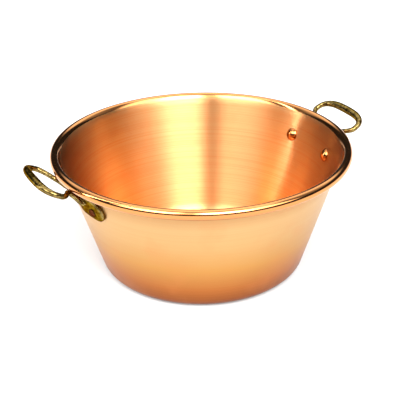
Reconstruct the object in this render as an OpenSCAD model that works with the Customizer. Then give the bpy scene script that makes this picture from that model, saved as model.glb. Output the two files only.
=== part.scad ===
// Copper jam pan: a spun basin with a wired rim and two riveted cast handles.
// The origin is the middle of the base, the handles lie along X, and Z is up.

/* [Basin] */
// Outside diameter over the rolled rim
rim_d = 380; // [320:5:440]
// Height from the table to the top of the rim
pan_h = 162; // [135:1:190]
// Lean of the wall away from upright, in degrees
wall_lean = 17.5; // [12:0.5:22]
// Thickness of the copper sheet
sheet_t = 1.5; // [1.2:0.1:2]
// Outside radius of the bend between floor and wall
corner_r = 18; // [10:1:26]

/* [Rolled rim] */
// Outside radius of the roll of sheet
roll_r = 6; // [5:0.25:7]
// Radius of the gentle bend that leads the wall into the roll
flare_r = 25; // [18:1:32]
// How far that bend carries the sheet outwards
flare_out = 1.9; // [1:0.1:3]
// Space left where the cut edge of the roll meets the wall
seam_gap = 0.3; // [0.2:0.1:0.6]
// Space between the wire and the sheet rolled round it
wire_fit = 0.2; // [0.1:0.05:0.5]

/* [Handle loop] */
// Half the width of the loop, along its middle line
loop_half_w = 43.5; // [40:0.5:50]
// Reach of the grip's middle from the place where the legs pass under the rim
loop_reach = 39; // [34:0.5:46]
// Reach of the widest place of the loop
loop_mid = 18; // [15:0.5:21]
// Rise of the loop from level, in degrees
loop_rise = 26.5; // [20:0.5:34]
// Clear space between the legs and the roll above them
loop_gap = 0.4; // [0.3:0.1:2]
// Squareness of the outer half of the loop: 2 is an ellipse
bar_square = 2.85; // [2:0.05:3.2]
// Squareness of the inner half: less than 2 draws the legs together
leg_square = 1.5; // [1.4:0.05:2]

/* [Handle thickness] */
// Thickness of the legs
leg_d = 6.2; // [5:0.2:7]
// Thickness of the loop at its widest place
turn_d = 7; // [6:0.2:9]
// Thickness of the grip in the plane of the loop
grip_w = 10.8; // [8:0.2:12]
// Thickness of the grip across that plane
grip_h = 9.8; // [7:0.2:11]
// Width of the foot of a leg, where it grows out of its palm
foot_w = 22; // [14:0.5:26]
// Height of that foot
foot_h = 9; // [6:0.5:14]
// How far the foot's middle lies past the middle of the palm's inner end
foot_in = 1; // [0:0.5:6]
// How far the foot's middle lies above the palm's outer end
foot_up = 4; // [3:0.5:9]
// Rise of the neck where it leaves the foot, in degrees
neck_rise = 42; // [20:1:60]
// How far the neck turns towards the middle of the handle there, in degrees
neck_turn = 7; // [0:1:20]
// Pull of the bend at each end of the neck
neck_pull = 7; // [5:0.5:9]
// Share of the neck's length in which the foot narrows to the leg
neck_taper = 0.8; // [0.6:0.05:1]

/* [Palms] */
// Thickness of a palm
palm_t = 4.2; // [3:0.2:5]
// Space between a palm and the wall it lies on
palm_fit = 0.15; // [0.1:0.05:0.3]
// How far the middle of a palm's outer end lies past its rivet
palm_tip_out = 4; // [1:0.5:6]
// How far the same middle lies above the rivet
palm_tip_up = 3.5; // [0:0.5:5]
// Radius of the outer end of a palm
palm_tip_r = 15.4; // [12:0.2:17]
// Radius of the inner end of a palm
palm_root_r = 14; // [11:0.5:15]
// Distance between the middles of the two ends
palm_len = 21; // [16:1:26]
// Slope of the rounded edge of a palm, as an inset per millimetre of thickness
palm_draft = 0.3; // [0.1:0.05:0.5]

/* [Rivets] */
// Half the distance between the two rivets of a handle, along the wall
rivet_half = 41; // [37:0.5:46]
// Depth of the rivets below the top of the rim
rivet_drop = 36; // [33:0.5:44]
// Diameter of a shank
shank_d = 6.8; // [5:0.2:8]
// Space round a shank in its holes
shank_fit = 0.1; // [0.05:0.05:0.3]
// Diameter of the domed head inside the pan
head_d = 17.4; // [13:0.2:19]
// Height of that head
head_h = 4.8; // [3:0.2:6]
// Diameter of the hammered end outside
tail_d = 10.6; // [9:0.2:13]
// Height of the hammered end
tail_h = 1.8; // [0.8:0.1:2.4]
// Space under a head or an end, at its middle
rivet_seat = 0.1; // [0.05:0.05:0.3]

/* [Hidden] */
$fn = 96;

// Colours
copper_sheet = "#d98a55";
copper_rivet = "#c9764a";
cast_bronze = "#8f7a45";
iron_wire = "#5b5a58";

// The rim in section: radius and height of the middle of the roll
rim_r = rim_d / 2;
roll_c = [rim_r - roll_r, pan_h - roll_r];

// Directions in the same section: up along the wall, and straight out of it
wall_up = [sin(wall_lean), cos(wall_lean)];
wall_out = [cos(wall_lean), -sin(wall_lean)];

// Radius at height z of the surface that lies depth outside the wall's inner face
function wall_r(z, depth) =
    roll_c.x - (roll_r + flare_out - depth) / cos(wall_lean) - (roll_c.y - z) * tan(wall_lean);

// The bend at the bottom and the bend under the roll
corner_c = [wall_r(corner_r, sheet_t - corner_r), corner_r];
flare_run = sqrt(2 * (flare_r - roll_r) * flare_out - flare_out * flare_out);
flare_c = roll_c - flare_run * wall_up + (flare_r - roll_r - flare_out) * wall_out;
to_roll = roll_c - flare_c;
roll_start = atan2(to_roll.y, to_roll.x);
tip_r = roll_r + seam_gap;
tip_cos = (pow(flare_r - roll_r, 2) + tip_r * tip_r - pow(flare_r - sheet_t, 2))
          / (2 * (flare_r - roll_r) * tip_r);
roll_stop = roll_start - 180 - acos(tip_cos);
wire_r = roll_r - sheet_t - wire_fit;

// The plane of a handle's loop, and where the legs in that plane pass under the roll
loop_end = -50;
loop_dir = [cos(loop_rise), 0, sin(loop_rise)];
loop_up = [-sin(loop_rise), 0, cos(loop_rise)];
leg_y = loop_half_w * pow(cos(loop_end), 2 / leg_square);
roll_x = sqrt(pow(roll_c.x, 2) - leg_y * leg_y);
loop_start = [roll_x, 0, roll_c.y] - (roll_r + loop_gap + leg_d / 2) * loop_up;

// Where the rivets, palms and feet sit on the wall
rivet_z = pan_h - rivet_drop;
rivet_az = rivet_half / wall_r(rivet_z, sheet_t) * 180 / PI;
palm_tip_y = rivet_half + palm_tip_out;
palm_tip_z = rivet_z + palm_tip_up;
foot_y = palm_tip_y - palm_len - foot_in;
foot_z = palm_tip_z + foot_up;

// How finely curves are divided: degrees along an arc, and steps of a leg's sweep
arc_step = 7.5;
sides = 18;
neck_steps = 9;
turn_step = 5;

// Unit vector along v
function unit(v) = v / norm(v);

// Value between a and b at t, from 0 to 1
function mix(a, b, t) = a + (b - a) * t;

// The same t, but starting and ending gently
function ease(t) = t * t * (3 - 2 * t);

// Power that keeps the sign of its base
function signed_pow(b, e) = sign(b) * pow(abs(b), e);

// Azimuth of a point on the wall, from its distance along the wall and its height
function wall_az(y, z) = y / wall_r(z, sheet_t) * 180 / PI;

// Point on the middle line of the loop at angle a: 0 is widest, 90 is the grip
function loop_at(a) =
    let (e = 2 / (sin(a) < 0 ? leg_square : bar_square),
         half_v = loop_reach - loop_mid,
         v = loop_mid + half_v * signed_pow(sin(a), e))
    loop_start + v * loop_dir + [0, loop_half_w * signed_pow(cos(a), e), 0];

// Point on a cubic curve with four control points
function bend_at(p, t) =
    pow(1 - t, 3) * p[0] + 3 * t * pow(1 - t, 2) * p[1] + 3 * t * t * (1 - t) * p[2] + pow(t, 3) * p[3];

// Control points of the neck, from the foot on the palm to the end of the loop
neck_az = wall_az(foot_y, foot_z);
foot_at = [wall_r(foot_z, sheet_t + palm_t / 2) * cos(neck_az),
           wall_r(foot_z, sheet_t + palm_t / 2) * sin(neck_az), foot_z];
neck_end = loop_at(loop_end);
neck_dir = unit(loop_at(loop_end + 1) - neck_end);
foot_dir = [cos(neck_rise) * cos(neck_turn), -cos(neck_rise) * sin(neck_turn), sin(neck_rise)];
neck = [foot_at, foot_at + neck_pull * foot_dir, neck_end - neck_pull * neck_dir, neck_end];

// Stations of one leg, from its foot to the grip
neck_line = [for (i = [0:neck_steps - 1]) bend_at(neck, i / neck_steps)];
loop_line = [for (a = [loop_end:turn_step:90]) loop_at(a)];
leg_line = concat(neck_line, loop_line);
neck_ups = [for (i = [0:neck_steps - 1])
    mix([wall_up.x, 0, wall_up.y], loop_up, ease(i / neck_steps))];
leg_ups = concat(neck_ups, [for (p = loop_line) loop_up]);

// Half thicknesses at the same stations: in the plane of the loop, then across it
neck_sizes = [for (i = [0:neck_steps - 1])
    let (t = ease(min(1, i / neck_steps / neck_taper)))
    mix([foot_w, foot_h], [leg_d, leg_d], t) / 2];
loop_sizes = [for (a = [loop_end:turn_step:90])
    a < 0 ? mix([leg_d, leg_d], [turn_d, turn_d], ease(1 - a / loop_end)) / 2
          : mix([turn_d, turn_d], [grip_w, grip_h], ease(a / 90)) / 2];
leg_sizes = concat(neck_sizes, loop_sizes);

// A list followed by its own mirror image, without repeating the middle
function there_and_back(list, flip) =
    concat(list, [for (i = [len(list) - 2:-1:0]) flip ? [list[i].x, -list[i].y, list[i].z] : list[i]]);

// Solid swept along a line of points, with an oval section at each
module sweep(line, ups, sizes) {
    last = len(line) - 1;
    rings = [for (i = [0:last])
        let (t = unit(line[min(i + 1, last)] - line[max(i - 1, 0)]),
             side = unit(cross(ups[i], t)),
             up = cross(t, side))
        for (k = [0:sides - 1])
            line[i] + side * sizes[i].x * cos(360 * k / sides) + up * sizes[i].y * sin(360 * k / sides)];
    skin = [for (i = [0:last - 1], k = [0:sides - 1])
        let (a = i * sides + k,
             b = i * sides + (k + 1) % sides)
        each [[a, a + sides, b], [b, a + sides, b + sides]]];
    start_cap = [[for (k = [0:sides - 1]) k]];
    end_cap = [[for (k = [sides - 1:-1:0]) last * sides + k]];
    polyhedron(points = rings, faces = concat(skin, start_cap, end_cap), convexity = 6);
}

// Points along an arc round a centre, from angle a0 to angle a1
function arc(centre, r, a0, a1) =
    let (n = ceil(abs(a1 - a0) / arc_step))
    [for (i = [0:n]) centre + r * [cos(mix(a0, a1, i / n)), sin(mix(a0, a1, i / n))]];

// The sheet in section: along its outer face to the cut edge, and back along its inner face
module sheet_section() {
    inside_r = corner_r - sheet_t;
    polygon(concat(
        [[0, 0]],
        arc(corner_c, corner_r, -90, -wall_lean),
        arc(flare_c, flare_r - sheet_t, 180 - wall_lean, roll_start),
        arc(roll_c, roll_r - sheet_t, roll_start, roll_stop),
        arc(roll_c, roll_r, roll_stop, roll_start),
        arc(flare_c, flare_r, roll_start, 180 - wall_lean),
        arc(corner_c, inside_r, -wall_lean, -90),
        [[0, sheet_t]]));
}

// Puts a child on the wall's outer face, with its Z axis straight out of the wall
module on_wall(az, z) {
    rotate([0, 0, az])
        translate([wall_r(z, sheet_t), 0, z])
            rotate([0, 90 + wall_lean, 0])
                children();
}

// Straight hole for a rivet shank, with room to spare through sheet and palm
module rivet_hole(az) {
    reach = 2 * (sheet_t + palm_t);
    on_wall(az, rivet_z)
        translate([0, 0, -reach]) cylinder(d = shank_d + 2 * shank_fit, h = 2 * reach);
}

// The four rivets of the two handles, as azimuths
rivet_azs = [rivet_az, -rivet_az, 180 + rivet_az, 180 - rivet_az];

// Spun copper basin with its rim rolled over the wire
module basin() {
    color(copper_sheet)
    difference() {
        rotate_extrude() sheet_section();
        for (az = rivet_azs) rivet_hole(az);
    }
}

// Iron wire that fills the roll
module rim_wire() {
    color(iron_wire)
    rotate_extrude() translate(roll_c) circle(r = wire_r);
}

// Layer of a cone that follows the wall, from depth a to depth b, round the handle
module wall_layer(a, b) {
    low = palm_tip_z - 2 * palm_tip_r;
    high = palm_tip_z + 2 * palm_tip_r;
    span = 2 * wall_az(palm_tip_y + 2 * palm_tip_r, low);
    rotate([0, 0, -span / 2])
        rotate_extrude(angle = span)
            polygon([[wall_r(low, a), low], [wall_r(low, b), low],
                     [wall_r(high, b), high], [wall_r(high, a), high]]);
}

// One rounded end of a palm, as a tapered plug straight out of the wall
module palm_end(y, z, r) {
    tall = 3 * palm_t;
    on_wall(wall_az(y, z), z)
        translate([0, 0, -palm_t])
            cylinder(r1 = r + palm_t * palm_draft, r2 = r - (tall - palm_t) * palm_draft, h = tall);
}

// Flat cast palm that lies against the wall, mirrored for the other side
module palm() {
    intersection() {
        wall_layer(sheet_t + palm_fit, sheet_t + palm_fit + palm_t);
        hull() {
            palm_end(palm_tip_y, palm_tip_z, palm_tip_r);
            palm_end(palm_tip_y - palm_len, palm_tip_z, palm_root_r);
        }
    }
}

// The bar from foot to foot, hollowed behind so that only the palms touch the wall
module bar() {
    low = foot_z - foot_w;
    high = foot_z + foot_w;
    depth = sheet_t + 2 * palm_fit;
    difference() {
        sweep(there_and_back(leg_line, true), there_and_back(leg_ups, false),
              there_and_back(leg_sizes, false));
        translate([0, 0, low]) cylinder(r1 = wall_r(low, depth), r2 = wall_r(high, depth), h = high - low);
    }
}

// Cast handle: two palms joined by one loop that thickens into a grip
module handle() {
    color(cast_bronze)
    difference() {
        union() {
            palm();
            mirror([0, 1, 0]) palm();
            bar();
        }
        for (side = [-1, 1]) rivet_hole(side * rivet_az);
    }
}

// Copper rivet: a dome inside the pan, a shank, and a hammered end on the palm
module rivet(az) {
    dome_r = (pow(head_d / 2, 2) + head_h * head_h) / (2 * head_h);
    tail_dome_r = (pow(tail_d / 2, 2) + tail_h * tail_h) / (2 * tail_h);
    hollow = pow(head_d / 2, 2) / (2 * wall_r(rivet_z, 0));
    head_at = -sheet_t - rivet_seat - hollow;
    tail_at = palm_fit + palm_t + rivet_seat;
    color(copper_rivet)
    on_wall(az, rivet_z) {
        intersection() {
            translate([0, 0, head_at - head_h + dome_r]) sphere(r = dome_r);
            translate([0, 0, head_at - head_h]) cylinder(d = head_d, h = head_h);
        }
        translate([0, 0, head_at - head_h / 2])
            cylinder(d = shank_d, h = tail_at - head_at + head_h / 2 + tail_h / 2);
        intersection() {
            translate([0, 0, tail_at + tail_h - tail_dome_r]) sphere(r = tail_dome_r);
            translate([0, 0, tail_at]) cylinder(d = tail_d, h = tail_h);
        }
    }
}

basin();
rim_wire();
handle();  // handle_right
rotate([0, 0, 180]) handle();  // handle_left
rivet(rivet_azs[0]);  // rivet_right_back
rivet(rivet_azs[1]);  // rivet_right_front
rivet(rivet_azs[2]);  // rivet_left_front
rivet(rivet_azs[3]);  // rivet_left_back
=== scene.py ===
# %% [markdown]
# # A copper jam pan
#
# The pan is a wide basin of spun copper with its rim rolled over a wire. Two cast bronze
# handles are riveted to the wall, each with two copper rivets. Nothing on it moves, so every
# piece rides on the one body, "root". The CAD model is loaded first and gives the frame that
# everything else is made in: metres, with the middle of the base at the origin, the handles
# along X and Z up.

# %% The frame
import bpy
import bmesh
import math
from mathutils import Matrix, Vector


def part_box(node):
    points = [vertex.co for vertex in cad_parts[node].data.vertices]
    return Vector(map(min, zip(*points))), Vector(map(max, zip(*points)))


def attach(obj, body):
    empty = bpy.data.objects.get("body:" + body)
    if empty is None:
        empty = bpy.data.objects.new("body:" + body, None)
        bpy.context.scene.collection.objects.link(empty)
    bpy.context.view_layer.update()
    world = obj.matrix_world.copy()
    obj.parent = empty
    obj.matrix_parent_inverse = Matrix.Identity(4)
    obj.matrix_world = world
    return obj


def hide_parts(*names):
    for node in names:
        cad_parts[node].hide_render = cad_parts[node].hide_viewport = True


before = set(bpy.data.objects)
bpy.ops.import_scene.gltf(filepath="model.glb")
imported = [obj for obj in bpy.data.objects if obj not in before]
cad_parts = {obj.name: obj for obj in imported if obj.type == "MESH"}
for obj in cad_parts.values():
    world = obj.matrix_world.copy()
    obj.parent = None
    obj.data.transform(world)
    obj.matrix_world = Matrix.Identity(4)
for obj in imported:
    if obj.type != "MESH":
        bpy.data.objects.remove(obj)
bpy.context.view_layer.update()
mm = 0.001
for node_name in sorted(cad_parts):
    low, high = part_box(node_name)
    print(node_name, [round(v / mm, 1) for v in (*low, *high)])

# %% [markdown]
# ## Small helpers
#
# An operator acts on all that is selected, and loading a model leaves its nodes selected. So
# every step starts by clearing the selection, and each piece is finished by putting its place
# into its mesh, which leaves the object itself at the origin, as the CAD nodes are.

# %% Selecting and finishing
def nothing_selected():
    if bpy.context.mode != "OBJECT":
        bpy.ops.object.mode_set(mode="OBJECT")
    bpy.ops.object.select_all(action="DESELECT")


def only(piece):
    nothing_selected()
    piece.select_set(True)
    bpy.context.view_layer.objects.active = piece
    return piece


def edit(piece, select="SELECT"):
    only(piece)
    bpy.ops.object.mode_set(mode="EDIT")
    bpy.ops.mesh.select_all(action=select)


def named(name):
    piece = bpy.context.active_object
    piece.name = name
    piece.data.name = name
    return piece


def apply_modifier(piece, kind, **settings):
    only(piece)
    modifier = piece.modifiers.new(kind.title(), kind)
    for key, value in settings.items():
        setattr(modifier, key, value)
    bpy.ops.object.modifier_apply(modifier=modifier.name)


def into_mesh(piece):
    only(piece)
    bpy.ops.object.transform_apply(location=True, rotation=True, scale=True)


def report(piece):
    corners = [piece.matrix_world @ v.co for v in piece.data.vertices]
    low = [round(min(c[i] for c in corners) / mm, 1) for i in range(3)]
    high = [round(max(c[i] for c in corners) / mm, 1) for i in range(3)]
    print(piece.name, "from", low, "to", high, "mm,", len(piece.data.polygons), "faces")


# %% [markdown]
# ## The pan's measures
#
# The basin is a body of revolution, so one section says all about it: a flat floor, a bend,
# a straight wall that leans out, a slight flare and the roll. The same measures as in the CAD
# source are written here once, because the script can't read that file.

# %% Measures, in millimetres
RIM_R = 190
PAN_H = 162
LEAN = math.radians(17.5)
SHEET = 1.5
CORNER_R = 18
ROLL_R = 6
FLARE_R = 25
# How far the flare carries the rim out of line with the wall
FLARE_OUT = 1.9
# Room between the wall and the cut edge of the roll
SEAM_GAP = 0.3
# The middle of the roll, where its wire runs
ROLL_R0 = RIM_R - ROLL_R
ROLL_Z0 = PAN_H - ROLL_R


def wall_r(z, depth=0.0):
    """Radius, at height z, of the surface that lies depth outside the wall's inner face."""
    return (ROLL_R0 - (ROLL_R + FLARE_OUT - depth) / math.cos(LEAN)
            - (ROLL_Z0 - z) * math.tan(LEAN))


def wall_depth(co):
    """Distance of a point outside the wall's inner face, in millimetres."""
    return (math.hypot(co.x, co.y) / mm - wall_r(co.z / mm)) * math.cos(LEAN)


def out_of_wall(co):
    """Unit vector straight out of the wall beside a point."""
    return Vector((co.x, co.y, 0)).normalized() * math.cos(LEAN) - Vector((0, 0, math.sin(LEAN)))


def arc(centre, radius, start, stop, steps):
    """Points along an arc, with the angles in radians."""
    angles = [start + (stop - start) * i / steps for i in range(steps + 1)]
    return [(centre[0] + radius * math.cos(a), centre[1] + radius * math.sin(a)) for a in angles]


def between(a, b, steps):
    """Points strictly between two points."""
    return [(a[0] + (b[0] - a[0]) * i / steps, a[1] + (b[1] - a[1]) * i / steps)
            for i in range(1, steps)]


CORNER_AT = (wall_r(CORNER_R, SHEET - CORNER_R), CORNER_R)
flare_run = math.sqrt(2 * (FLARE_R - ROLL_R) * FLARE_OUT - FLARE_OUT ** 2)
flare_side = FLARE_R - ROLL_R - FLARE_OUT
FLARE_AT = (ROLL_R0 - flare_run * math.sin(LEAN) + flare_side * math.cos(LEAN),
            ROLL_Z0 - flare_run * math.cos(LEAN) - flare_side * math.sin(LEAN))
ROLL_START = math.atan2(ROLL_Z0 - FLARE_AT[1], ROLL_R0 - FLARE_AT[0])
tip = ROLL_R + SEAM_GAP
tip_cos = (((FLARE_R - ROLL_R) ** 2 + tip ** 2 - (FLARE_R - SHEET) ** 2)
           / (2 * (FLARE_R - ROLL_R) * tip))
ROLL_STOP = ROLL_START - math.pi - math.acos(tip_cos)
print("wall radius at the table and at the rim:", round(wall_r(0), 1), round(wall_r(PAN_H), 1))

# %% [markdown]
# ## The basin
#
# A real basin is spun: a disc of copper turns on a lathe and is pressed over a form. Blender's
# spin tool does the same. One vertex is extruded along the section, down one face of the sheet
# and back along the other, and the outline is then spun round the Z axis. It could also be
# extruded ring by ring from a disc, but the spin keeps the roll exactly round. The inner wall
# gets many rings, because the hollows round the rivets are pulled into it further on.

# %% Drawing and spinning a section
# Points closer than this become one, where the spin closes and on its axis
WELD = 0.005


def lathe(name, outline, steps):
    nothing_selected()
    bpy.ops.mesh.primitive_plane_add(size=mm, location=(outline[0][0] * mm, 0, outline[0][1] * mm))
    piece = named(name)
    into_mesh(piece)
    edit(piece)
    bpy.ops.mesh.merge(type="CENTER")
    for (r0, z0), (r1, z1) in zip(outline, outline[1:]):
        bpy.ops.mesh.extrude_region_move(
            TRANSFORM_OT_translate={"value": ((r1 - r0) * mm, 0, (z1 - z0) * mm)})
    bpy.ops.mesh.select_all(action="SELECT")
    bpy.ops.mesh.spin(steps=steps, angle=2 * math.pi, center=(0, 0, 0), axis=(0, 0, 1))
    bpy.ops.mesh.select_all(action="SELECT")
    bpy.ops.mesh.remove_doubles(threshold=WELD * mm)
    bpy.ops.mesh.normals_make_consistent(inside=False)
    bpy.ops.object.mode_set(mode="OBJECT")
    bpy.ops.object.shade_smooth()
    return piece


outer_face = arc(CORNER_AT, CORNER_R, -math.pi / 2, -LEAN, 10)
outer_flare = arc(FLARE_AT, FLARE_R - SHEET, math.pi - LEAN, ROLL_START, 5)
outer_roll = arc((ROLL_R0, ROLL_Z0), ROLL_R - SHEET, ROLL_START, ROLL_STOP, 30)
inner_roll = arc((ROLL_R0, ROLL_Z0), ROLL_R, ROLL_STOP, ROLL_START, 44)
inner_flare = arc(FLARE_AT, FLARE_R, ROLL_START, math.pi - LEAN, 6)
inner_face = arc(CORNER_AT, CORNER_R - SHEET, -LEAN, -math.pi / 2, 10)
FLOOR_RINGS = (0, 40, 80)
section = ([(r, 0) for r in FLOOR_RINGS] + outer_face
           + between(outer_face[-1], outer_flare[0], 14) + outer_flare
           + outer_roll[1:] + inner_roll + inner_flare[1:]
           + between(inner_flare[-1], inner_face[0], 44) + inner_face
           + [(r, SHEET) for r in reversed(FLOOR_RINGS)])
BASIN_STEPS = 384
basin = lathe("pan_basin", section, BASIN_STEPS)
report(basin)

# %% [markdown]
# ## The handles
#
# Each handle is one bronze casting: a loop whose ends pass under the rim and widen into two
# flat palms, which lie on the wall and take the rivets. A bar like this can be a row of
# bridged rings, but a curve is quicker: its points carry a radius each, so one line gives the
# route and the width together. The route is half a loop in a plane that leans up, then a bend
# under the rim and down to the palm, where the bar becomes a broad flat strap. A curve can't
# be flat, so each ring of the finished tube is squeezed to its own height afterwards.

# %% The handle's measures, in millimetres and degrees
# The loop: half its width, how far it reaches out, and how far out it is widest
LOOP_HALF_W = 43.5
LOOP_REACH = 39
LOOP_MID = 18
LOOP_RISE = math.radians(26.5)
# Room between the loop and the roll
LOOP_GAP = 0.4
# How square the loop is at its grip and at its legs, where 2 is round
BAR_SQUARE = 2.85
LEG_SQUARE = 1.5
# Where the loop ends and the neck starts, counted from the loop's widest place
LOOP_END_DEGREES = -50
LOOP_END = math.radians(LOOP_END_DEGREES)
# Width and height of the bar at the palm, the end of the loop, its widest place and its grip
FOOT = Vector((22, 9))
LEG = Vector((6.2, 6.2))
TURN = Vector((7, 7))
GRIP = Vector((10.8, 9.8))
# The neck: where it starts, past the palm's root and above its middle line, how it leaves
# the palm, how strongly it bends, and where its taper ends
FOOT_PAST = 1
FOOT_UP = 4
NECK_RISE = math.radians(42)
NECK_TURN = math.radians(7)
NECK_PULL = 7
NECK_TAPER = 0.8
# The palm: thickness, room behind it, middle of its tip round the wall and up, length, radii
PALM_T = 4.2
PALM_FIT = 0.15
PALM_TIP_U = 45
PALM_TIP_Z = 129.5
PALM_LEN = 21
PALM_TIP_R = 15.4
PALM_ROOT_R = 14
print("loop:", 2 * LOOP_HALF_W, "mm wide and", LOOP_REACH, "mm out along its middle line")

# %% The loop's plane, and places on the loop and on the wall
wall_up = Vector((math.sin(LEAN), 0, math.cos(LEAN)))
loop_out = Vector((math.cos(LOOP_RISE), 0, math.sin(LOOP_RISE)))
loop_up = Vector((-math.sin(LOOP_RISE), 0, math.cos(LOOP_RISE)))
leg_y = LOOP_HALF_W * math.cos(LOOP_END) ** (2 / LEG_SQUARE)
LOOP_START = (Vector((math.sqrt(ROLL_R0 ** 2 - leg_y ** 2), 0, ROLL_Z0))
              - (ROLL_R + LOOP_GAP + LEG.x / 2) * loop_up)


def loop_at(angle):
    """Middle line of the loop: 0 is its widest place, and a right angle the middle of the grip."""
    power = 2 / (LEG_SQUARE if angle < 0 else BAR_SQUARE)
    up_part = math.copysign(abs(math.sin(angle)) ** power, math.sin(angle))
    along = LOOP_MID + (LOOP_REACH - LOOP_MID) * up_part
    across = Vector((0, LOOP_HALF_W * abs(math.cos(angle)) ** power, 0))
    return LOOP_START + along * loop_out + across


def on_wall(along, z, out):
    """Point a given distance round the wall and out from it, at height z."""
    turn = along / wall_r(z, SHEET)
    reach = wall_r(z, SHEET) + out * math.cos(LEAN)
    return Vector((reach * math.cos(turn), reach * math.sin(turn), z - out * math.sin(LEAN)))


def ease(t):
    return t * t * (3 - 2 * t)


print("loop from", LOOP_START, "to", loop_at(math.pi / 2))

# %% [markdown]
# The route has a point for each place along the bar, with the width and height there and the
# way that is up. Half of it is worked out, from a palm to the middle of the grip, and the other
# half is its mirror image.

# %% The handle's route
foot = on_wall(PALM_TIP_U - PALM_LEN - FOOT_PAST, PALM_TIP_Z + FOOT_UP, PALM_T / 2)
foot_way = Vector((math.cos(NECK_RISE) * math.cos(NECK_TURN),
                   -math.cos(NECK_RISE) * math.sin(NECK_TURN), math.sin(NECK_RISE)))
neck_top = loop_at(LOOP_END)
neck_way = (loop_at(LOOP_END + 0.02) - neck_top).normalized()
neck = (foot, foot + NECK_PULL * foot_way, neck_top - NECK_PULL * neck_way, neck_top)
NECK_STEPS = 12
LOOP_STEP_DEGREES = 3
route = []
for i in range(NECK_STEPS):
    t = i / NECK_STEPS
    weights = ((1 - t) ** 3, 3 * t * (1 - t) ** 2, 3 * t * t * (1 - t), t ** 3)
    point = sum((w * p for w, p in zip(weights, neck)), Vector())
    thick = FOOT.lerp(LEG, ease(min(1, t / NECK_TAPER)))
    route.append((point, thick, wall_up.lerp(loop_up, ease(t))))
for degrees in range(LOOP_END_DEGREES, 90, LOOP_STEP_DEGREES):
    angle = math.radians(degrees)
    if degrees > 0:
        thick = TURN.lerp(GRIP, ease(degrees / 90))
    else:
        thick = LEG.lerp(TURN, ease(1 - degrees / LOOP_END_DEGREES))
    route.append((loop_at(angle), thick, loop_up))
route.append((loop_at(math.pi / 2), GRIP, loop_up))
route += [(Vector((p.x, -p.y, p.z)), thick, up) for p, thick, up in route[-2::-1]]
print("places along the handle:", len(route))

# %% [markdown]
# The curve becomes a mesh of round rings, one for each place and in the same order. Each ring
# is then scaled across the bar only, in axes of its own, which makes the foot a flat strap.

# %% The bar
def bar(name, line):
    curve = bpy.data.curves.new(name, "CURVE")
    curve.dimensions = "3D"
    curve.bevel_depth = mm
    curve.bevel_resolution = 6
    spline = curve.splines.new("POLY")
    spline.points.add(len(line) - 1)
    for spot, (point, thick, up) in zip(spline.points, line):
        spot.co = (*(point * mm), 1)
        spot.radius = thick.x / 2
    piece = bpy.data.objects.new(name, curve)
    bpy.context.collection.objects.link(piece)
    only(piece)
    bpy.ops.object.convert(target="MESH")
    return piece


def squeeze(piece, line):
    """Makes each round ring of the bar as high as its place says, and closes both ends."""
    around = len(piece.data.vertices) // len(line)
    edit(piece, "DESELECT")
    for i, (point, thick, up) in enumerate(line):
        before = (point - line[i - 1][0]).normalized() if i > 0 else Vector()
        after = (line[i + 1][0] - point).normalized() if i + 1 < len(line) else Vector()
        way = (before + after).normalized()
        side = up.cross(way).normalized()
        bpy.ops.mesh.select_all(action="DESELECT")
        shape = bmesh.from_edit_mesh(piece.data)
        shape.verts.ensure_lookup_table()
        for k in range(around):
            shape.verts[i * around + k].select = True
        bmesh.update_edit_mesh(piece.data)
        bpy.ops.transform.resize(value=(1, 1, thick.y / thick.x), orient_type="GLOBAL",
                                 orient_matrix=Matrix((way, side, way.cross(side))).transposed(),
                                 orient_matrix_type="GLOBAL", center_override=point * mm)
    bpy.ops.mesh.select_all(action="SELECT")
    bpy.ops.mesh.fill_holes(sides=around)
    bpy.ops.mesh.normals_make_consistent(inside=False)
    nothing_selected()


handle = bar("handle_right_cast", route)
squeeze(handle, route)
report(handle)

# %% [markdown]
# The palm starts as a disc. Half of it is pulled out to a long oval, its upper edge is
# bevelled, and it is cut into strips with bisect so that it can be laid on the round wall. It
# could be cut from a thick copy of the wall instead, but a flat palm is easier to bevel.

# %% One palm
# Width of its bevel, and width and number of the strips
PALM_EDGE = 2.2
STRIP_W = 2
STRIPS = 24
# Room for rounding, where points are picked by their place
CLOSE = 0.01


def palm(side):
    nothing_selected()
    bpy.ops.mesh.primitive_cylinder_add(vertices=64, radius=PALM_TIP_R * mm, depth=PALM_T * mm,
                                        location=(0, 0, (PALM_FIT + PALM_T / 2) * mm))
    piece = named("palm")
    into_mesh(piece)
    edit(piece, "DESELECT")
    shape = bmesh.from_edit_mesh(piece.data)
    for v in shape.verts:
        v.select = v.co.x < -CLOSE * mm
    shape.select_flush_mode()
    bmesh.update_edit_mesh(piece.data)
    bpy.ops.transform.resize(value=(PALM_ROOT_R / PALM_TIP_R,) * 2 + (1,),
                             center_override=(0, 0, 0))
    bpy.ops.transform.translate(value=(-PALM_LEN * mm, 0, 0))
    bpy.ops.mesh.select_all(action="DESELECT")
    shape = bmesh.from_edit_mesh(piece.data)
    for e in shape.edges:
        e.select = all(v.co.z > (PALM_FIT + PALM_T - CLOSE) * mm for v in e.verts)
    bmesh.update_edit_mesh(piece.data)
    bpy.ops.mesh.bevel(offset=PALM_EDGE * mm, segments=5)
    for i in range(STRIPS):
        cut_x = PALM_TIP_R - STRIP_W - STRIP_W * i
        bpy.ops.mesh.select_all(action="SELECT")
        bpy.ops.mesh.bisect(plane_co=(cut_x * mm, 0, 0), plane_no=(1, 0, 0))
    bpy.ops.object.mode_set(mode="OBJECT")
    for v in piece.data.vertices:
        along, up, out = v.co.x / mm, v.co.y / mm, v.co.z / mm
        spot = on_wall(PALM_TIP_U + along, PALM_TIP_Z + up * math.cos(LEAN), out)
        v.co = Vector((spot.x, side * spot.y, spot.z)) * mm
    edit(piece)
    bpy.ops.mesh.normals_make_consistent(inside=False)
    nothing_selected()
    return piece


palms = [palm(1), palm(-1)]
print("faces of the palms:", [len(piece.data.polygons) for piece in palms])

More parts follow.
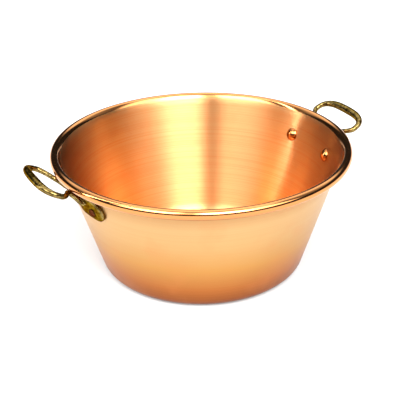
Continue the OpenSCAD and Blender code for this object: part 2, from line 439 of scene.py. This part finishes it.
# %% [markdown]
# Casting makes one piece of the bar and the palms, with soft inner corners. The Remesh modifier
# does that by building one new skin round all three, and Smooth rounds its corners. Smoothing
# also pulls points into the wall, so they are put back outside it.

# %% One casting
# Size of the faces of the new skin, in millimetres
VOXEL = 0.65
nothing_selected()
for piece in (*palms, handle):
    piece.select_set(True)
bpy.context.view_layer.objects.active = handle
bpy.ops.object.join()
apply_modifier(handle, "REMESH", mode="VOXEL", voxel_size=VOXEL * mm)
apply_modifier(handle, "SMOOTH", factor=0.5, iterations=10)

for v in handle.data.vertices:
    short = SHEET + PALM_FIT - wall_depth(v.co)
    if short > 0:
        v.co += out_of_wall(v.co) * short * mm
report(handle)

# %% [markdown]
# Both handles come from one mould, so the left one is a copy, turned by half a turn about the
# middle of the pan.

# %% The other handle
def turned_copy(piece, name):
    only(piece)
    bpy.ops.object.duplicate()
    twin = named(name)
    bpy.ops.object.mode_set(mode="EDIT")
    bpy.ops.mesh.select_all(action="SELECT")
    bpy.ops.transform.rotate(value=math.pi, orient_axis="Z", center_override=(0, 0, 0))
    nothing_selected()
    return twin


only(handle)
bpy.ops.object.shade_smooth()
handles = {"handle_right": handle, "handle_left": turned_copy(handle, "handle_left_cast")}
report(handles["handle_left"])

# %% [markdown]
# ## The rivets
#
# A rivet is a short copper bar with a domed head, pushed through from inside and hammered flat
# outside. It is lathed like the basin, from an outline that runs from the top of the dome to
# the hammered end, and then turned from upright to straight out of the wall.

# %% The rivet's measures
RIVET_U = 41
RIVET_Z = 126
RIVET_AZ = RIVET_U / wall_r(RIVET_Z, SHEET)
HEAD_R = 8.7
HEAD_H = 4.8
SHANK_R = 3.4
TAIL_R = 5.3
TAIL_H = 1.8
# Room between the ends of a rivet and what they clamp
SEAT = 0.1
# The hammered end, as parts of its radius and height: a raised edge round a sunken middle
TAIL = ((1, 0), (1, 0.2), (0.92, 0.6), (0.77, 0.9), (0.62, 1), (0.49, 0.9), (0.4, 0.72),
        (0.2, 0.78), (0, 0.83))
print("rivets at", round(math.degrees(RIVET_AZ), 2), "degrees to either side of X")

# %% Rivets
RIVET_STEPS = 48
DOME_STEPS = 14


def head(base, steps):
    """Outline of the domed head, which hangs below its base, from its top to its edge."""
    ball = (HEAD_R ** 2 + HEAD_H ** 2) / (2 * HEAD_H)
    wide = math.asin(HEAD_R / ball)
    return [(ball * math.sin(wide * i / steps),
             base - (HEAD_H - ball + ball * math.cos(wide * i / steps)))
            for i in range(steps + 1)]


def rivet(name, azimuth):
    head_z = -SHEET - SEAT - HEAD_R ** 2 / (2 * wall_r(RIVET_Z))
    tail_z = PALM_FIT + PALM_T + SEAT
    tail = [(TAIL_R * r, tail_z + TAIL_H * z) for r, z in TAIL]
    outline = head(head_z, DOME_STEPS) + [(SHANK_R, head_z), (SHANK_R, tail_z)] + tail
    piece = lathe(name, outline, RIVET_STEPS)
    # The first finish is the dome's and the second the hammered end's
    for face in piece.data.polygons:
        face.material_index = int(face.center.z > tail_z * mm)
    spot = Matrix.Translation((wall_r(RIVET_Z, SHEET) * mm, 0, RIVET_Z * mm))
    upright = Matrix.Rotation(math.pi / 2 + LEAN, 4, "Y")
    piece.data.transform(Matrix.Rotation(azimuth, 4, "Z") @ spot @ upright)
    report(piece)
    return piece


rivets = {name: rivet(name + "_copper", azimuth) for name, azimuth in (
    ("rivet_right_back", RIVET_AZ), ("rivet_right_front", -RIVET_AZ),
    ("rivet_left_front", math.pi + RIVET_AZ), ("rivet_left_back", math.pi - RIVET_AZ))}

# %% [markdown]
# Hammering a rivet draws the soft sheet a little into the palm behind it. Half a millimetre is
# enough to bend every reflection round the head, so the inner face gets a shallow hollow there.

# %% Hollows round the rivets
# Depth of a hollow, its reach round the wall, and how much taller it is, squared
HOLLOW = 0.5
HOLLOW_R = 13
HOLLOW_TALL = 3
# Less than this isn't worth moving a point for
LEAST = 0.01
# Points this close to the inner face, and above the bend, belong to the inner wall
NEAR = 0.05
WALL_FROM_Z = 54
drawn = 0
for v in basin.data.vertices:
    if abs(wall_depth(v.co)) < NEAR and v.co.z > WALL_FROM_Z * mm:
        turn = math.atan2(v.co.y, v.co.x)
        radius = math.hypot(v.co.x, v.co.y) / mm
        for azimuth in (RIVET_AZ, -RIVET_AZ, math.pi + RIVET_AZ, math.pi - RIVET_AZ):
            along = radius * math.remainder(turn - azimuth, 2 * math.pi)
            up = (v.co.z / mm - RIVET_Z) / math.cos(LEAN)
            pull = HOLLOW * math.exp(-(along ** 2 + up ** 2 / HOLLOW_TALL) / HOLLOW_R ** 2)
            if pull > LEAST:
                v.co += out_of_wall(v.co) * pull * mm
                drawn += 1
print("points drawn out round the rivets:", drawn)

# %% [markdown]
# ## Materials
#
# Every colour below is written as it looks on a screen, and one function turns it into the
# linear values that the shader works with. One more function adds a node, with its settings and
# with what comes into it, which keeps a material down to a few readable lines.

# %% Colours and nodes
def linear(hex_colour):
    parts = [int(hex_colour[i:i + 2], 16) / 255 for i in (1, 3, 5)]
    return (*[c / 12.92 if c <= 0.04045 else ((c + 0.055) / 1.055) ** 2.4 for c in parts], 1)


def add(owner, kind, inputs=None, **settings):
    """Adds a node to a material or the world. Inputs are values, or outputs of other nodes."""
    tree = owner.node_tree
    node = tree.nodes.new("ShaderNode" + kind)
    for key, value in settings.items():
        setattr(node, key, value)
    for socket, value in (inputs or {}).items():
        if isinstance(value, bpy.types.NodeSocket):
            tree.links.new(value, node.inputs[socket])
        else:
            node.inputs[socket].default_value = value
    return node


def blank(name):
    material = bpy.data.materials.new(name)
    material.use_nodes = True
    material.node_tree.nodes.clear()
    return material


def finish_material(material, shader):
    add(material, "OutputMaterial", {"Surface": shader.outputs[0]})
    print("material:", material.name)
    return material


# %% [markdown]
# ## Copper that was brushed on the lathe
#
# The inside was rubbed with an abrasive while the basin turned, which leaves fine lines that
# run round it. Light on such lines spreads across them, so the highlights stand up the wall as
# bands. The shader has this as anisotropy: its tangent runs round the Z axis, and a quarter
# turn lays the spread across the lines. Real lines are a tenth of a millimetre apart. They are
# drawn 1.4 mm apart here, because a finer line would be lost between two pixels.

# %% Lines that run round the basin
def turned(material, place, spacing, length):
    """A noise of lines round Z: the distance between them and their length, in millimetres."""
    apart = add(material, "SeparateXYZ", {0: place})
    flat = add(material, "CombineXYZ", {0: apart.outputs[0], 1: apart.outputs[1]})
    radius = add(material, "VectorMath", {0: flat.outputs[0]}, operation="LENGTH")
    round_it = add(material, "VectorMath", {0: flat.outputs[0]}, operation="NORMALIZE")
    round_it = add(material, "VectorMath", {0: round_it.outputs[0], 3: RIM_R / length},
                   operation="SCALE")
    along = add(material, "Math", {0: radius.outputs["Value"], 1: apart.outputs[2]})
    along = add(material, "Math", {0: along.outputs[0], 1: 1 / (spacing * mm)},
                operation="MULTIPLY")
    up = add(material, "CombineXYZ", {2: along.outputs[0]})
    where = add(material, "VectorMath", {0: round_it.outputs[0], 1: up.outputs[0]})
    return add(material, "TexNoise", {"Vector": where.outputs[0], "Scale": 1, "Detail": 3,
                                      "Roughness": 0.6}).outputs[0]


# %% [markdown]
# One function makes all four finishes of the sheet. The colour follows the height through a
# ramp, which on the outside paints shade: darker towards the foot, where the table it reflects
# lies in shade, and right under the roll. Slow patches of tarnish lie over it, and the fine
# lines are painted darker, as shade in their grooves.

# %% Copper
# Colour of the patches of tarnish, and of the shade painted into the lines
TARNISH_AND_LINE_SHADE = "#d58a52"
# Distance between the lines and their length, and the size of a patch, in millimetres
LINE_GAP = 1.4
LINE_LEN = 600
PATCH = 1000 / 18
# Levels of its noise where a patch starts and is at its darkest, and how dark that is
PATCH_EDGE = (0.5, 0.8)
PATCH_TONE = 0.35
# The same for the lines, where it is painted shade in their grooves
LINE_EDGE = (0.45, 0.6)
# Nearly all of a noise lies between these levels
NOISE_RANGE = (0.25, 0.75)


def copper(name, shades, roughness, brushed, line_depth, painted_line_shade):
    """Turned copper, by colours at heights in mm, depth of its lines and the shade painted into
    them.
    """
    material = blank(name)
    place = add(material, "TexCoord").outputs["Object"]
    lines = turned(material, place, LINE_GAP, LINE_LEN)
    height = add(material, "SeparateXYZ", {0: place})
    height = add(material, "MapRange", {0: height.outputs[2], 2: PAN_H * mm})
    shade = add(material, "ValToRGB", {0: height.outputs[0]})
    stops = shade.color_ramp.elements
    for i, (z, colour) in enumerate(shades):
        stop = stops[i] if i < 2 else stops.new(z / PAN_H)
        stop.position, stop.color = z / PAN_H, linear(colour)
    patches = add(material, "TexNoise", {"Vector": place, "Scale": 1 / (PATCH * mm), "Detail": 4})
    tarnish_and_line_shade = add(material, "MapRange", {0: patches.outputs[0], 1: PATCH_EDGE[0],
                                         2: PATCH_EDGE[1], 4: PATCH_TONE})
    # The lines get painted shade in their grooves, added to the patches of tarnish
    shade_in_lines = add(material, "MapRange", {0: lines, 1: LINE_EDGE[0], 2: LINE_EDGE[1],
                                          4: painted_line_shade})
    tarnish_and_line_shade = add(material, "Math", {0: tarnish_and_line_shade.outputs[0], 1: shade_in_lines.outputs[0]},
                  use_clamp=True)
    shade = add(material, "Mix", {0: tarnish_and_line_shade.outputs[0], 6: shade.outputs[0],
                                  7: linear(TARNISH_AND_LINE_SHADE)}, data_type="RGBA")
    bump = add(material, "Bump", {"Height": lines, "Strength": 1, "Distance": line_depth * mm})
    gloss = add(material, "MapRange", {0: lines, 1: NOISE_RANGE[0], 2: NOISE_RANGE[1],
                                       3: roughness[0], 4: roughness[1]})
    shader = add(material, "BsdfPrincipled", {
        "Base Color": shade.outputs[2], "Metallic": 1, "Anisotropic": brushed,
        "Anisotropic Rotation": 0.25, "Normal": bump.outputs[0],
        "Tangent": add(material, "Tangent", direction_type="RADIAL", axis="Z").outputs[0],
        "Roughness": gloss.outputs[0]})
    return finish_material(material, shader)


# %% [markdown]
# The inside has one colour from floor to rim. The outside has painted shade: it is darker towards
# the foot, where it reflects the table in shade, gold half way up, and dark right under the roll,
# where the roll shades it. The roll is the shiniest part, and the seam where it meets the wall is
# the dullest.

# %% The four finishes of the sheet
# Spun copper, brushed on the lathe: bands of light that stand across fine lines
brushed_copper = copper("spun_copper_brushed", ((0, "#d7a36d"), (PAN_H, "#d7a36d")),
                        (0.30, 0.36), 1, 0.2, 0.42)
# Spun copper, rubbed satin outside: an even sheen. The darker stops near the foot and the dark one
# at 145 mm are painted shade, for the shaded table it reflects and the shade under the roll
satin_copper = copper("spun_copper_satin",
                      ((2, "#7c3f20"), (PAN_H, "#6e361c"), (30, "#b06b34"), (62, "#c89350"),
                       (95, "#d0a66e"), (125, "#d4ac77"), (142.5, "#c89c69"), (145, "#7a3c20")),
                      (0.34, 0.40), 0.7, 0.02, 0.1)
# The rim was burnished round its wire: nearly a mirror
burnished_copper = copper("rolled_copper_burnished", ((140, "#d98f52"), (PAN_H, "#df9a5e")),
                          (0.08, 0.13), 0.3, 0.003, 0)
# Copper in the seam under the roll, which no cloth reaches: a dull brown line
seam_copper = copper("copper_seam_tarnished", ((140, "#6b3218"), (PAN_H, "#7a3c1e")),
                     (0.5, 0.6), 0.3, 0.02, 0)

# %% [markdown]
# The finishes meet where the tools that made them did. The burnished roll ends where it turns
# back towards the wall, and the brushed inside and the satin outside meet under it.

# %% Finishes of the basin
BRUSHED, SATIN, BURNISHED, SEAM = range(4)
# Width of the seam, and how near to the roll a face belongs to it, in millimetres
SEAM_W = 1.4
ROLL_EDGE = 0.5
for material in (brushed_copper, satin_copper, burnished_copper, seam_copper):
    basin.data.materials.append(material)
seam_r = ROLL_R0 + ROLL_R * math.cos(ROLL_STOP)
seam_z = ROLL_Z0 + ROLL_R * math.sin(ROLL_STOP)
for face in basin.data.polygons:
    radius = math.hypot(face.center.x, face.center.y) / mm
    from_roll = math.hypot(radius - ROLL_R0, face.center.z / mm - ROLL_Z0)
    from_seam = math.hypot(radius - seam_r, face.center.z / mm - seam_z)
    if from_seam < SEAM_W:
        face.material_index = SEAM
    elif from_roll < ROLL_R + ROLL_EDGE:
        face.material_index = BURNISHED
    else:
        face.material_index = SATIN if face.normal.z < 0 else BRUSHED
used = [face.material_index for face in basin.data.polygons]
print("basin faces of each finish:", [used.count(i) for i in range(4)])
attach(basin, "root")
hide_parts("basin")

# %% [markdown]
# ## Iron, bronze and rivets
#
# The wire is drawn iron, with grey scale on it. The handles are cast in sand from a yellow
# bronze, which goes brown in patches and is rubbed to gold between them. The rivets are
# copper: their heads are polished by the hollow tool that forms them, and the other end is
# hammered. One function makes them all, because each is two shades in patches over fine dents.

# %% Iron, bronze and rivets
# Levels of the noise where the dark shade ends and the light one is full
WORN_EDGE = (0.35, 0.65)


def plain_metal(name, dark, light, roughness, grain, dent):
    """Two shades, lowest and highest roughness, size of the patches and depth of dents in mm."""
    material = blank(name)
    place = add(material, "TexCoord").outputs["Object"]
    patches = add(material, "TexNoise", {"Vector": place, "Scale": 1 / (grain * mm), "Detail": 5})
    worn = add(material, "MapRange", {0: patches.outputs[0], 1: WORN_EDGE[0], 2: WORN_EDGE[1]})
    shade = add(material, "Mix", {0: worn.outputs[0], 6: linear(dark), 7: linear(light)},
                data_type="RGBA")
    bump = add(material, "Bump", {"Height": patches.outputs[0], "Strength": 1,
                                  "Distance": dent * mm})
    gloss = add(material, "MapRange", {0: patches.outputs[0], 1: NOISE_RANGE[0],
                                       2: NOISE_RANGE[1], 3: roughness[0], 4: roughness[1]})
    # The tint keeps a dull metal from turning white where it is seen along its face
    shader = add(material, "BsdfPrincipled", {
        "Base Color": shade.outputs[2], "Metallic": 1, "Normal": bump.outputs[0],
        "Specular Tint": linear(light), "Roughness": gloss.outputs[0]})
    return finish_material(material, shader)


# Drawn iron: grey, with a dull scale
drawn_iron = plain_metal("iron_wire_drawn", "#6d6b68", "#8b8986", (0.4, 0.6), 3, 0.02)
# Sand-cast bronze, aged: brown in patches and rubbed to gold
aged_bronze = plain_metal("cast_bronze_aged", "#544320", "#a38c55", (0.16, 0.28), 4, 0.04)
# Copper, formed by a polished tool: a bright domed head
rivet_copper = plain_metal("copper_rivet_polished", "#b4703f", "#cf8a54", (0.12, 0.20), 5, 0.05)
# Copper, hammered over by hand: a dull and tarnished end
hammered_copper = plain_metal("copper_rivet_hammered", "#3c2216", "#7d4a30", (0.35, 0.50), 2, 0.25)
cad_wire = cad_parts["rim_wire"]
cad_wire.data.materials.clear()
cad_wire.data.materials.append(drawn_iron)

# %% [markdown]
# The wire stays as the CAD made it, since the sheet hides it. The handles and rivets take the
# places of their CAD nodes.

# %% Handles and rivets in place
for group, material, slot in ((handles, aged_bronze, "cast_bronze"),
                              (rivets, rivet_copper, "copper_rivet")):
    for node_name, piece in group.items():
        piece.data.materials.append(material)
        if group is rivets:
            piece.data.materials.append(hammered_copper)
        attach(piece, "root")
        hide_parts(node_name)
        print(node_name, "has", len(piece.data.materials), "finishes")

# %% [markdown]
# ## The table and the room
#
# The pan stands on a pale matt board, which takes its shadow. The photograph's background is
# pure white, so the board glows a little where the camera or the metal sees it.

# %% Floor
# Strength of the board's glow, and its width in metres
FLOOR_LIFT = 0.25
FLOOR_W = 14


def white_board():
    """A pale board that shadows fall on, lifted to white where the camera or the metal sees it."""
    material = blank("white_board_matt")
    rays = add(material, "LightPath")
    seen = add(material, "Math", {0: rays.outputs["Is Camera Ray"],
                                  1: rays.outputs["Is Glossy Ray"]})
    seen = add(material, "Math", {0: seen.outputs[0], 1: rays.outputs["Is Transmission Ray"]},
               use_clamp=True)
    lift = add(material, "Math", {0: seen.outputs[0], 1: FLOOR_LIFT}, operation="MULTIPLY")
    board = add(material, "BsdfDiffuse", {"Color": linear("#c4c4c4")})
    glow = add(material, "Emission", {"Color": (1, 1, 1, 1), "Strength": lift.outputs[0]})
    return finish_material(material, add(material, "AddShader", {0: board.outputs[0],
                                                                 1: glow.outputs[0]}))


nothing_selected()
bpy.ops.mesh.primitive_plane_add(size=FLOOR_W)
floor = named("floor")
floor.data.materials.append(white_board())

# %% [markdown]
# Polished copper shows its surroundings more than its own colour, so the light is built like a
# photographer's: a ring of soft boxes high round the pan, 29 to 68 degrees up, with gaps
# between them. A lower light bounces round the wall and washes out the deep colour at the sides
# of the inside, so the room is dark below the ring. Area lamps could hang there, but light from
# the world falls evenly on the whole table and its levels can fade into each other, so the ring
# is drawn in the world's nodes.

# %% The ring of soft boxes
# The way from the pan to the camera, in degrees from X
CAMERA_AZ = -117.2
RING_LEVEL = 16
# Degrees to the camera's right, and the level of light there
SOFT_BOXES = ((-180, 1.8), (-130, 1), (-105, 0.2), (-95, 0.1), (-78, 0.1), (-72, 3), (-64, 7.2),
              (-55, 8), (-46, 9), (-24, 8.6), (-18, 2.2), (-7, 2.2), (-3, 6), (3, 16), (36, 16),
              (42, 8), (54, 4.8), (68, 3.6), (77, 2.8), (83, 0.6), (88, 0.1), (120, 0.5),
              (140, 1.5), (180, 1.8))
# Heights in the room are the sine of the elevation. Each pair says where a light fades in
RING_FOOT = (0.48, 0.58)
RING_TOP = (0.93, 0.87)

world = bpy.data.worlds.new("studio")
bpy.context.scene.world = world
world.use_nodes = True
world.node_tree.nodes.clear()
way = add(world, "VectorRotate", {"Vector": add(world, "TexCoord").outputs["Generated"],
                                  "Angle": math.radians(-CAMERA_AZ)}, rotation_type="Z_AXIS")
apart = add(world, "SeparateXYZ", {0: way.outputs[0]})
towards, rightwards, upwards = apart.outputs
side = add(world, "Math", {0: rightwards, 1: towards}, operation="ARCTAN2")
side = add(world, "MapRange", {0: side.outputs[0], 1: -math.pi, 2: math.pi})
boxes = add(world, "ValToRGB", {0: side.outputs[0]})
stops = boxes.color_ramp.elements
for i, (degrees, level) in enumerate(SOFT_BOXES):
    stop = stops[i] if i < 2 else stops.new(0.5 + degrees / 360)
    stop.position, stop.color = 0.5 + degrees / 360, (*[level / RING_LEVEL] * 3, 1)
foot_of_box = add(world, "MapRange", {0: upwards, 1: RING_FOOT[0], 2: RING_FOOT[1]})
top_of_box = add(world, "MapRange", {0: upwards, 1: RING_TOP[0], 2: RING_TOP[1]})
ring = add(world, "Math", {0: foot_of_box.outputs[0], 1: top_of_box.outputs[0]},
           operation="MULTIPLY")
ring = add(world, "Math", {0: boxes.outputs[0], 1: ring.outputs[0]}, operation="MULTIPLY")
print("soft boxes:", len(SOFT_BOXES), "places, brightest", max(level for d, level in SOFT_BOXES))

# %% [markdown]
# The photograph has a bright stripe that runs down the inner wall at the right-hand rivets. It
# is narrow and reaches low, so it comes from one tall narrow box, which stands to the left,
# across the pan from the stripe.

# %% The narrow box
# Its place and width in degrees, its level of light, and the height where it fades in
NARROW_AT = -91.5
NARROW_W = 6
NARROW_LEVEL = 11
NARROW_FOOT = (0.1, 0.14)
low = add(world, "MapRange", {0: upwards, 1: NARROW_FOOT[0], 2: NARROW_FOOT[1]})
narrow = add(world, "Math", {0: side.outputs[0], 1: 0.5 + NARROW_AT / 360,
                             2: NARROW_W / 720}, operation="COMPARE")
narrow = add(world, "Math", {0: narrow.outputs[0], 1: low.outputs[0]}, operation="MULTIPLY")
narrow = add(world, "Math", {0: narrow.outputs[0], 1: top_of_box.outputs[0]},
             operation="MULTIPLY")
print("narrow box:", NARROW_W, "degrees wide")

# %% [markdown]
# A soft light overhead is seen in the upper side of the rim. It is weaker in front of the pan
# than behind it. What is left of the room is almost dark.

# %% The light above, and all the light together
TOP_LEVEL = 2.0
ROOM_LEVEL = 0.025
TOP_FOOT = (0.86, 0.91)
# Where the overhead light grows, from in front of the pan to behind it, and its part in front
BEHIND = (0.1, -0.1)
FRONT_PART = 0.3
high_up = add(world, "MapRange", {0: upwards, 1: TOP_FOOT[0], 2: TOP_FOOT[1]})
behind = add(world, "MapRange", {0: towards, 1: BEHIND[0], 2: BEHIND[1], 3: FRONT_PART})
top = add(world, "Math", {0: high_up.outputs[0], 1: behind.outputs[0]}, operation="MULTIPLY")
top = add(world, "Math", {0: top.outputs[0], 1: TOP_LEVEL, 2: ROOM_LEVEL},
          operation="MULTIPLY_ADD")
level = add(world, "Math", {0: ring.outputs[0], 1: RING_LEVEL, 2: top.outputs[0]},
            operation="MULTIPLY_ADD")
level = add(world, "Math", {0: narrow.outputs[0], 1: NARROW_LEVEL, 2: level.outputs[0]},
            operation="MULTIPLY_ADD")
print("overhead light:", TOP_LEVEL)

# %% [markdown]
# The camera sees white behind the pan. The metal sees the same white as a low band round the
# horizon and below it, where it carries on the white of the table.

# %% White round the table
# The height where the white band fades in, from above
HORIZON = (0.08, 0.04)
rays = add(world, "LightPath")
horizon = add(world, "MapRange", {0: upwards, 1: HORIZON[0], 2: HORIZON[1]})
bright = add(world, "Math", {0: rays.outputs["Is Glossy Ray"],
                             1: rays.outputs["Is Transmission Ray"]})
bright = add(world, "Math", {0: bright.outputs[0], 1: horizon.outputs[0],
                             2: rays.outputs["Is Camera Ray"]},
             operation="MULTIPLY_ADD", use_clamp=True)
level = add(world, "Mix", {0: bright.outputs[0], 2: level.outputs[0], 3: 1})
sky = add(world, "Background", {0: (1, 1, 1, 1), 1: level.outputs[0]})
add(world, "OutputWorld", {0: sky.outputs[0]})
print("room:", len(world.node_tree.nodes), "nodes")

# %% [markdown]
# ## The camera
#
# Its place and lens were worked out from the ellipses that the rim and the foot make in the
# photograph, before the model was built.

# %% Camera, in millimetres and degrees
CAMERA_AT = (-531.9, -1029.8, 659.9)
CAMERA_AIM = (-2.13, 1.09, 82.73)
CAMERA_ROLL = -1
LENS = 89.955
bpy.ops.object.camera_add(location=[v * mm for v in CAMERA_AT])
camera = bpy.context.active_object
aim = Vector([v * mm for v in CAMERA_AIM]) - camera.location
camera.rotation_euler = aim.to_track_quat("-Z", "Y").to_euler()
camera.rotation_euler.rotate_axis("Z", math.radians(CAMERA_ROLL))
camera.data.sensor_width = 36
camera.data.lens = LENS
bpy.context.scene.camera = camera
bpy.context.scene.view_settings.view_transform = "Standard"
print("camera at", CAMERA_AT, "mm, lens", LENS, "mm")
